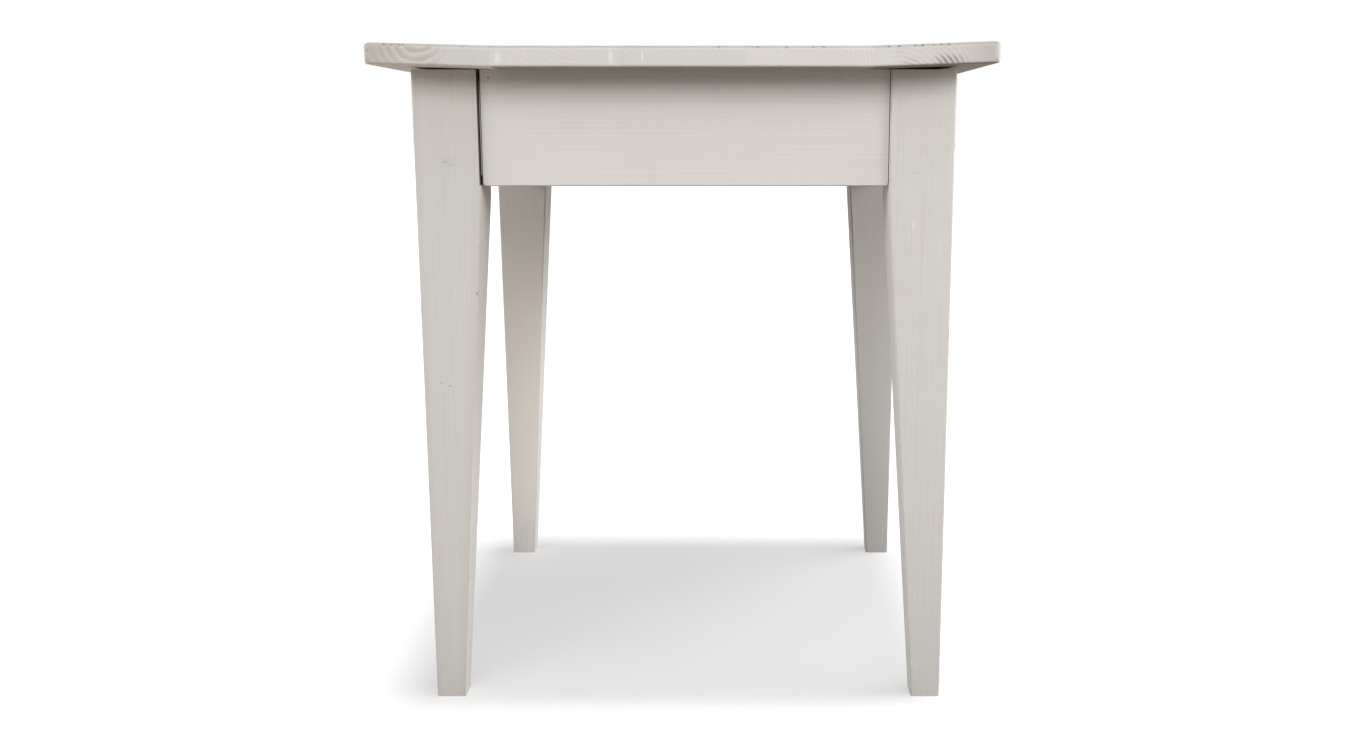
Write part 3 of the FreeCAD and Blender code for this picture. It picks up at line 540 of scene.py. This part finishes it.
# A knot's halo and core, with their half sizes across and along the table in radii
KNOT_PARTS = [(KNOT_HALO, 2.2, 5.0), (KNOT_CORE, 1.0, 1.3)]
KNOT_DEPTH = 20 * MM
# Tabletop: how far from its middle it greys, then painted shade on its upper edge and in its seams
SIDE_GREY, SIDE_GREY_SHARE = (0.23, 0.36), 0.40
CORNER_GREY, CORNER_GREY_SHARE = (0.295, 0.335), 0.35
ARRIS_SHADE_SHARE = 0.65
SEAM_SHADE_WIDTH, SEAM_SHADE_SHARE = (1.4 * MM, 0.3 * MM), 0.55
# Legs: heights between which an effect grows, and its share of the colour
TOP_SHADE_HEIGHTS = (0.60, 0.73)
FOOT_SHADE_HEIGHTS = (0.42, 0.05)
# Feet: scuffs that are partly painted shade
SCUFF_AND_SHADE_HEIGHTS, SCUFF_AND_SHADE_LEAST, SCUFF_AND_SHADE_SPREAD = (0.22, 0.0), 0.09, 0.22
# Far left leg: a warmer wash, partly painted light, low on its near face
FAR_LEFT_WARM_LIGHT, FAR_LEFT_LIGHT_FOOT, FAR_LEFT_LIGHT_SHARE = (0.60, 0.40), (-0.02, 0.12), 0.6
# Near left leg: painted shade greying its top; inner faces: painted light low down, painted shade under the
# apron
NEAR_LEFT_TOP_SHADE, NEAR_LEFT_TOP_SHADE_SHARE = (0.45, 0.66), 0.13
INNER_SHADE_HEIGHTS, INNER_SHADE_SHARE = (0.42, 0.52), 0.16
INNER_LIGHT_HEIGHTS, INNER_LIGHT_SHARE = (0.45, 0.20), 0.6
# Near left leg: its warmer edges, and how much narrower it is at the foot
WARM_EDGE, WARM_EDGE_SHARE = 14 * MM, 0.16
LEG_TAPER = 39 * MM
# Joints of the near apron: painted shade in the open one at its left, and a fine line of painted shade at
# its right
JOINT_FADE_UP, JOINT_FADE_BACK = 2 * MM, 1 * MM
JOINT_SHADE_WIDTH, JOINT_SHADE_SHARE = 1.1 * MM, 0.9
# Drawer fronts: wear round the knob, and the lap that covers the sides, behind which the wood is bare
HAND_WEAR_REACH = 45 * MM
FRONT_LAP, LAP_FADE = 6.5 * MM, 1 * MM
# Softened edges
SOFT_EDGE = {"painted_wood": 1.1 * MM, "tabletop": 0.8 * MM, "bare_wood": 0.6 * MM, "steel": 0.3 * MM}
SOFT_EDGE_SEGMENTS = 3
SHARP_ANGLE = math.radians(32)
WELD_REACH = 0.01 * MM
# The turned knob in mm out from the drawer front and radius: its foot, then curves with two handles each
KNOB_FOOT = [(0.0, 0.0), (0.0, 9.0)]
KNOB_COVE = [(3.0, 9.0), (5.0, 6.4), (7.0, 6.4), (9.0, 6.4)]
KNOB_FLARE = [(9.0, 6.4), (14.0, 6.4), (15.0, 8.0), (15.2, 11.0)]
KNOB_SHOULDER = [(15.2, 11.0), (15.6, 14.6), (17.5, 16.0), (20.0, 16.0)]
KNOB_CROWN = [(20.0, 16.0), (25.2, 16.0), (28.0, 10.5), (28.0, 0.0)]
KNOB_CURVE_POINTS, KNOB_STEPS = 7, 48


def grain_of(name):
    return next(axis for part, axis in GRAIN if part in name)


def pith_of(name, order):
    """Where the pith lies, in the two directions across the grain."""
    low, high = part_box(name)
    middle = (low + high) / 2
    if name in BOARDS:
        aside, up = BOARDS[name].pith
        return middle.x + aside * MM, low.z + up * MM
    first, second = Wood.AXES[grain_of(name)][:2]
    side = 1 if order % 2 else -1
    aside = side * PITH_ASIDE[order % len(PITH_ASIDE)] * MM
    below = PITH_BELOW[order % len(PITH_BELOW)] * MM
    return middle[first] + aside, middle[second] - below


def near_face_mark(wood, colour, name, stain, mark):
    """A stain on the piece's near face; the mark is a place across and up and two half sizes, all in mm."""
    across, up, wide, high = (size * MM for size in mark)
    half_sizes = (wide, max(wide, high, MARK_DEPTH), high)
    share = wood.times(wood.blot((across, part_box(name)[0].y, up), half_sizes, stain.ragged), stain.share)
    if stain.on_rings:
        share = wood.times(share, wood.latewood)
    return wood.mix(share, colour, stain.tint)


def near_face_marks(wood, colour, name):
    """Those of the marks on the near end that touch this piece."""
    low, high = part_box(name)
    for piece, stain, marks in NEAR_MARKS:
        for mark in marks:
            left, right = (mark[0] - mark[2]) * MM, (mark[0] + mark[2]) * MM
            if name.startswith(piece) and low.x < right and left < high.x:
                colour = near_face_mark(wood, colour, name, stain, mark)
    return colour


def top_edge_height(name, across):
    """Height of the tabletop at a place across a board; the outer boards rise towards their outer edge."""
    low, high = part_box(name)
    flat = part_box("top_board_3")[1].z
    inner, outer = sorted((low.x, high.x), key=abs)
    return flat + (high.z - flat) * (across - inner) / (outer - inner)


def greyed_end(wood, colour):
    """End grain that greys towards the sides of the tabletop, and painted shade on its rounded upper edge.
    """
    aside = wood.math("ABSOLUTE", wood.xyz[0])
    sides = wood.times(wood.ramp(aside, *SIDE_GREY), SIDE_GREY_SHARE)
    corners = wood.times(wood.ramp(aside, *CORNER_GREY), CORNER_GREY_SHARE)
    greyed = wood.times(wood.plus(sides, corners), wood.end)
    # Painted shade on the upward-facing rounded edge, where the light catches it
    arris_shade = wood.times(wood.arris, wood.ramp(wood.normal[2], *ARRIS_SHADE_FACING), ARRIS_SHADE_SHARE)
    return wood.mix(wood.plus(greyed, arris_shade), colour, RING_GREY_AND_SHADE)


def dented_edge(wood, colour, name):
    """The small dents along a board's near upper edge."""
    low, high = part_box(name)
    for across in TOP_DENTS:
        if low.x < across * MM < high.x:
            height = top_edge_height(name, across * MM) / MM - DENT_BELOW_TOP
            dent = (across, height, DENT_HALF_WIDE, DENT_HALF_HIGH)
            colour = near_face_mark(wood, colour, name, EDGE_DENT, dent)
    return colour


def seam_shade_and_knots(wood, colour, name):
    """What shows on a board's upper face: painted shade along its seams, and knots."""
    low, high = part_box(name)
    upper = wood.ramp(wood.normal[2], *UPPER_FACE)
    from_left = wood.math("SUBTRACT", wood.xyz[0], low.x)
    from_right = wood.math("SUBTRACT", high.x, wood.xyz[0])
    # Painted shade along the seams between the boards
    seam_shade = wood.ramp(wood.math("MINIMUM", from_left, from_right), *SEAM_SHADE_WIDTH)
    colour = wood.mix(wood.times(upper, seam_shade, SEAM_SHADE_SHARE), colour, RING_GREY_AND_SHADE)
    for across, along, radius in TOP_KNOTS:
        if low.x < across * MM < high.x:
            centre = (across * MM, along * MM, high.z)
            for stain, wide, long in KNOT_PARTS:
                half_sizes = (wide * radius * MM, long * radius * MM, KNOT_DEPTH)
                blot = wood.blot(centre, half_sizes, stain.ragged)
                colour = wood.mix(wood.times(upper, blot, stain.share), colour, stain.tint)
    return colour


def board_marks(wood, colour, name):
    """The marks on a board's end, edge and upper face, and the underside's painted shade, with painted
    light under the first board.
    """
    colour = greyed_end(wood, colour)
    colour = near_face_marks(wood, colour, name)
    colour = dented_edge(wood, colour, name)
    colour = seam_shade_and_knots(wood, colour, name)
    board = BOARDS[name]
    # The underside: painted shade, and on the first board painted light
    return wood.mix(wood.times(wood.facing("Z", -1), board.bare), colour, board.underside)


def near_left_leg(wood, colour):
    """Warmer edges, painted shade greying the top, painted light paling the inner face downwards with
    painted shade under the apron, and painted shade in the open joint.
    """
    up = wood.xyz[2]
    low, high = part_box("leg_near_left")
    apron_low, apron_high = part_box("apron_near")
    taper = wood.math("MINIMUM", wood.math("DIVIDE", up, apron_low.z), 1.0)
    inner = wood.math("MULTIPLY_ADD", taper, LEG_TAPER, high.x - LEG_TAPER)
    outer_edge = wood.ramp(wood.xyz[0], low.x + WARM_EDGE, low.x)
    inner_edge = wood.ramp(wood.math("SUBTRACT", inner, wood.xyz[0]), WARM_EDGE, 0.0)
    warm = wood.times(wood.math("MAXIMUM", outer_edge, inner_edge), WARM_EDGE_SHARE)
    colour = wood.mix(warm, colour, THIN_WASH_AND_SHADE)
    # Painted shade: the upper part greys under the tabletop
    colour = wood.mix(wood.times(wood.ramp(up, *NEAR_LEFT_TOP_SHADE), NEAR_LEFT_TOP_SHADE_SHARE), colour, GREY_WASH_AND_SHADE)
    # Painted light: the inner face pales downwards; painted shade: it greys just under the apron
    inside = wood.facing("X", 1)
    pale = wood.times(inside, wood.ramp(up, *INNER_LIGHT_HEIGHTS), INNER_LIGHT_SHARE)
    colour = wood.mix(pale, colour, PALE_WASH_AND_LIGHT)
    under_apron_shade = wood.times(inside, wood.ramp(up, *INNER_SHADE_HEIGHTS), INNER_SHADE_SHARE)
    colour = wood.mix(under_apron_shade, colour, GREY_WASH_AND_SHADE)
    # Painted shade in the open joint beside the apron, near black
    above = wood.ramp(up, apron_low.z, apron_low.z + JOINT_FADE_UP)
    in_front = wood.ramp(wood.xyz[1], apron_high.y + JOINT_FADE_BACK, apron_high.y)
    joint_shade = wood.times(wood.ramp(wood.normal[0], *JOINT_SIDE), above, in_front)
    return wood.mix(joint_shade, colour, SHADE_BLACK)


def near_right_leg(wood, colour):
    """Painted light on the inner face."""
    return wood.mix(wood.times(wood.facing("X", -1), INNER_LIGHT_SHARE), colour, PALE_WASH_AND_LIGHT)


def far_left_leg(wood, colour):
    """A warmer and lighter wash on the near face, partly painted light, fading at the foot and at the top,
    and painted light on the inner face.
    """
    up = wood.xyz[2]
    warm = wood.times(wood.ramp(up, *FAR_LEFT_WARM_LIGHT), wood.ramp(up, *FAR_LEFT_LIGHT_FOOT), FAR_LEFT_LIGHT_SHARE)
    colour = wood.mix(wood.times(wood.facing("Y", -1), warm), colour, WARM_WASH_AND_LIGHT)
    # Painted light on the inner face
    return wood.mix(wood.facing("X", 1), colour, PALE_WASH_AND_LIGHT)


def leg_marks(wood, colour, name):
    """On every leg: painted shade near the top under the tabletop, scuffed feet that are partly painted
    shade, painted shade on the top end in the gap under the tabletop and painted shade towards the foot;
    then what belongs to one leg only.
    """
    up = wood.xyz[2]
    leg = LEGS[name]
    # Painted shade: darker near the top, under the tabletop
    colour = wood.mix(wood.times(wood.ramp(up, *TOP_SHADE_HEIGHTS), leg.handled), colour, THIN_WASH_AND_SHADE)
    # Scuffed feet, partly painted shade: low faces darken, those facing right are spared
    mottled = wood.math("MULTIPLY_ADD", wood.mottle, SCUFF_AND_SHADE_SPREAD, SCUFF_AND_SHADE_LEAST)
    scuff_and_shade = wood.times(wood.ramp(up, *SCUFF_AND_SHADE_HEIGHTS), wood.ramp(wood.normal[0], *NOT_RIGHT), mottled)
    colour = wood.mix(scuff_and_shade, colour, RING_GREY_AND_SHADE)
    # Painted shade: the top end, in the gap under the tabletop, goes near black
    colour = wood.mix(wood.facing("Z", 1), colour, SHADE_BLACK)
    # Painted shade: greyer towards the foot
    colour = wood.mix(wood.times(wood.ramp(up, *FOOT_SHADE_HEIGHTS), leg.foot_thin), colour, GREY_WASH_AND_SHADE)
    if name == "leg_near_left":
        colour = near_left_leg(wood, colour)
    if name == "leg_near_right":
        colour = near_right_leg(wood, colour)
    if name == "leg_far_left":
        colour = far_left_leg(wood, colour)
    return near_face_marks(wood, colour, name)


def apron_marks(wood, colour, name):
    """Shoulders of unpainted end grain, darkened near black as painted shade; on the near apron also its
    marks and a fine line of painted shade at its right joint.
    """
    # The shoulders' end grain, unpainted and darkened near black as painted shade in the joints
    colour = wood.mix(wood.end, colour, SHADE_BLACK)
    if name != "apron_near":
        return colour
    colour = near_face_marks(wood, colour, name)
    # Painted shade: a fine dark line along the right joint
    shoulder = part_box("leg_near_right")[0].x
    joint_line_shade = wood.ramp(wood.xyz[0], shoulder - JOINT_SHADE_WIDTH, shoulder - JOINT_SHADE_WIDTH / 2)
    return wood.mix(wood.times(joint_line_shade, JOINT_SHADE_SHARE), colour, SHADE_BLACK)


def front_marks(wood, colour, name):
    """Wash worn by hands round the knob; the back and the joints behind the front's lap are left bare."""
    low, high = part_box(name)
    centre = (low.x, (low.y + high.y) / 2, (low.z + high.z) / 2)
    worn = wood.blot(centre, [HAND_WEAR_REACH] * 3, HAND_WEAR.ragged)
    colour = wood.mix(wood.times(worn, HAND_WEAR.share), colour, HAND_WEAR.tint)
    lap = low.x + FRONT_LAP
    behind = wood.ramp(wood.xyz[0], lap, lap + LAP_FADE)
    upright = wood.ramp(wood.math("ABSOLUTE", wood.normal[2]), *UPRIGHT)
    return wood.mix(wood.times(behind, upright), colour, pine_colour(wood))


def look_of(name):
    """How a washed piece differs from the rest."""
    if name in BOARDS:
        board = BOARDS[name]
        return Look(board.thin, board.end_rings, board.ring_fade, board.ring, board.pale_ring,
                    wear=0.3, dents=board.dents, marks=board_marks)
    if name in LEGS:
        return Look(LEGS[name].thin, wear=0.6, along=0.75, cross=0.26, marks=leg_marks)
    if name.startswith("apron_"):
        return Look(along=0.5, cross=0.10, marks=apron_marks)
    if name.endswith("_front"):
        return Look(marks=front_marks)
    if name.endswith("_knob"):
        return Look(wear=0.25, dents=0.1)
    return Look()


def soften(piece, width):
    """Closes the seams between the piece's faces and rounds its edges a little."""
    weld = piece.modifiers.new("weld", "WELD")
    weld.merge_threshold = WELD_REACH
    bevel = piece.modifiers.new("soft_edges", "BEVEL")
    bevel.width = width
    bevel.segments = SOFT_EDGE_SEGMENTS
    bevel.limit_method = "ANGLE"
    bevel.angle_limit = SHARP_ANGLE
    bevel.use_clamp_overlap = True
    bevel.harden_normals = False
    bevel.miter_outer = "MITER_ARC"


def knob_outline():
    """The knob from the middle of its foot to the middle of its face, along X and Z in metres."""
    outline = list(KNOB_FOOT)
    for curve in (KNOB_COVE, KNOB_FLARE, KNOB_SHOULDER, KNOB_CROWN):
        knots = [Vector(knot).to_3d() for knot in curve]
        outline += [tuple(point.xy) for point in interpolate_bezier(*knots, KNOB_CURVE_POINTS)[:-1]]
    outline.append(KNOB_CROWN[-1])
    return [Vector((-out, 0.0, radius)) * MM for out, radius in outline]


def turned_knob(node, material):
    """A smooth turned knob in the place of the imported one."""
    low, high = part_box(node)
    axis = Vector((high.x, (low.y + high.y) / 2, (low.z + high.z) / 2))
    shape = bmesh.new()
    points = [shape.verts.new(axis + point) for point in knob_outline()]
    lines = [shape.edges.new(pair) for pair in zip(points, points[1:])]
    bmesh.ops.spin(shape, geom=points + lines, cent=axis, axis=(1.0, 0.0, 0.0), angle=2 * math.pi,
                   steps=KNOB_STEPS, use_merge=True)
    bmesh.ops.remove_doubles(shape, verts=shape.verts, dist=WELD_REACH)
    bmesh.ops.recalc_face_normals(shape, faces=shape.faces)
    for face in shape.faces:
        face.smooth = True
    mesh = bpy.data.meshes.new(f"{node}_turned")
    shape.to_mesh(mesh)
    shape.free()
    mesh.materials.append(material)
    knob = bpy.data.objects.new(mesh.name, mesh)
    scene.collection.objects.link(knob)
    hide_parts(node)
    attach(knob, node.removesuffix("_knob"))


def dress():
    """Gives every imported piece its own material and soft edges, and turns the knobs."""
    slots = {row["node"]: row["material_slot"] for row in frame["record"]["subparts"]}
    for order, name in enumerate(sorted(nodes)):
        piece = nodes[name]
        finish = slots[name]
        if finish == "steel":
            material = plated_steel(name)
        elif finish == "bare_wood":
            material = bare_pine(name, grain_of(name), pith_of(name, order), order + 1)
        else:
            material = washed_wood(name, grain_of(name), pith_of(name, order), order + 1, look_of(name))
        piece.data.materials.clear()
        piece.data.materials.append(material)
        if name.endswith("_knob"):
            turned_knob(name, material)
        else:
            soften(piece, SOFT_EDGE[finish])


# Setting


def ray_for_background(shader):
    """1 for rays that look straight at the background or see it in a gloss or through glass."""
    path = shader.node("ShaderNodeLightPath")
    seen = shader.math("MAXIMUM", path.outputs["Is Camera Ray"], path.outputs["Is Glossy Ray"])
    return shader.math("MAXIMUM", seen, path.outputs["Is Transmission Ray"])


def make_floor():
    """A white floor; the light that it throws back at the table is a little warm."""
    mesh = bpy.data.meshes.new("floor")
    corners = [(x * FLOOR_REACH, y * FLOOR_REACH, 0.0) for x, y in ((-1, -1), (1, -1), (1, 1), (-1, 1))]
    mesh.from_pydata(corners, [], [(0, 1, 2, 3)])
    floor = bpy.data.objects.new("floor", mesh)
    scene.collection.objects.link(floor)
    shader = Shader(bpy.data.materials.new("floor_white"))
    seen = ray_for_background(shader)
    matt = shader.node("ShaderNodeBsdfDiffuse")
    shader.feed(matt.inputs["Color"], shader.mix(seen, FLOOR_BOUNCE, FLOOR_SEEN))
    glow = shader.node("ShaderNodeEmission")
    shader.feed(glow.inputs["Strength"], shader.math("MULTIPLY", seen, FLOOR_GLOW))
    both = shader.node("ShaderNodeAddShader")
    shader.feed(both.inputs[0], matt.outputs[0])
    shader.feed(both.inputs[1], glow.outputs[0])
    out = shader.node("ShaderNodeOutputMaterial")
    shader.feed(out.inputs["Surface"], both.outputs[0])
    mesh.materials.append(shader.owner)
    floor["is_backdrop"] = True
    return floor


def make_world():
    """White where it is seen; for the light, brighter towards the front right."""
    scene.world = bpy.data.worlds.new("studio")
    shader = Shader(scene.world)
    look = shader.node("ShaderNodeTexCoord").outputs["Generated"]
    towards = shader.vector("DOT_PRODUCT", look, Vector(AMBIENT_FROM).normalized())
    level = shader.math("MULTIPLY_ADD", towards, 0.5, 0.5)
    ambient = shader.math("MULTIPLY_ADD", level, AMBIENT_BRIGHT - AMBIENT_DIM, AMBIENT_DIM)
    seen = ray_for_background(shader)
    strength = shader.math("MULTIPLY_ADD", shader.math("SUBTRACT", 1.0, ambient), seen, ambient)
    background = shader.node("ShaderNodeBackground")
    shader.feed(background.inputs["Strength"], strength)
    shader.feed(background.inputs["Color"], shader.mix(seen, AMBIENT_TINT, WHITE))
    out = shader.node("ShaderNodeOutputWorld")
    shader.feed(out.inputs["Surface"], background.outputs[0])


def towards_light(right, up):
    """Direction of a light, in degrees to the right of the photo's near end and up from the floor."""
    turn, rise = math.radians(right), math.radians(up)
    return Vector((math.cos(rise) * math.sin(turn), -math.cos(rise) * math.cos(turn), math.sin(rise)))


def hang(lamp, way, target, distance, receivers):
    """Puts a lamp up, aimed at the target, to light the given objects only."""
    lamp_object = bpy.data.objects.new(lamp.name, lamp)
    lamp_object.location = target + distance * way
    lamp_object.rotation_euler = (-way).to_track_quat("-Z", "Y").to_euler()
    scene.collection.objects.link(lamp_object)
    lit = bpy.data.collections.new(f"lit_by_{lamp.name}")
    for thing in receivers:
        lit.objects.link(thing)
    lamp_object.light_linking.receiver_collection = lit


def sun(receivers, name, right, up, spread, level):
    lamp = bpy.data.lights.new(name, "SUN")
    lamp.energy = level * math.pi
    lamp.angle = math.radians(spread)
    hang(lamp, towards_light(right, up), Vector(), SUN_DISTANCE, receivers)


def softbox(receivers, name, right, up, distance, size, level):
    """A rectangular lamp aimed at the middle of the near apron."""
    lamp = bpy.data.lights.new(name, "AREA")
    lamp.shape = "RECTANGLE"
    lamp.size, lamp.size_y = size
    lamp.energy = level * (math.pi * distance) ** 2
    low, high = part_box("apron_near")
    hang(lamp, towards_light(right, up), Vector((0.0, low.y, (low.z + high.z) / 2)), distance, receivers)


def make_lights(floor):
    """Suns for the shadow on the floor, and a faint sun and softboxes all round for the table."""
    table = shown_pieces()
    for lamp in TABLE_SUNS:
        sun(table, *lamp)
    for lamp in FLOOR_SUNS:
        sun([floor], *lamp)
    for lamp in SOFTBOXES:
        softbox(table, *lamp)


def make_camera():
    lens = bpy.data.cameras.new("camera")
    lens.sensor_width = SENSOR
    lens.lens = FOCAL_PX / PHOTO_WIDE * SENSOR
    lens.shift_x = (PHOTO_WIDE / 2 - AXIS_PX[0]) / PHOTO_WIDE
    lens.shift_y = (AXIS_PX[1] - PHOTO_HIGH / 2) / PHOTO_WIDE
    camera = bpy.data.objects.new("camera", lens)
    near_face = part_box("leg_near_left")[0].y
    camera.location = (CAMERA_X, near_face - CAMERA_FROM_NEAR_LEGS, CAMERA_Z)
    camera.rotation_euler = (math.pi / 2 - CAMERA_DOWN, 0.0, 0.0)
    scene.collection.objects.link(camera)
    scene.camera = camera


dress()
make_world()
make_lights(make_floor())
make_camera()
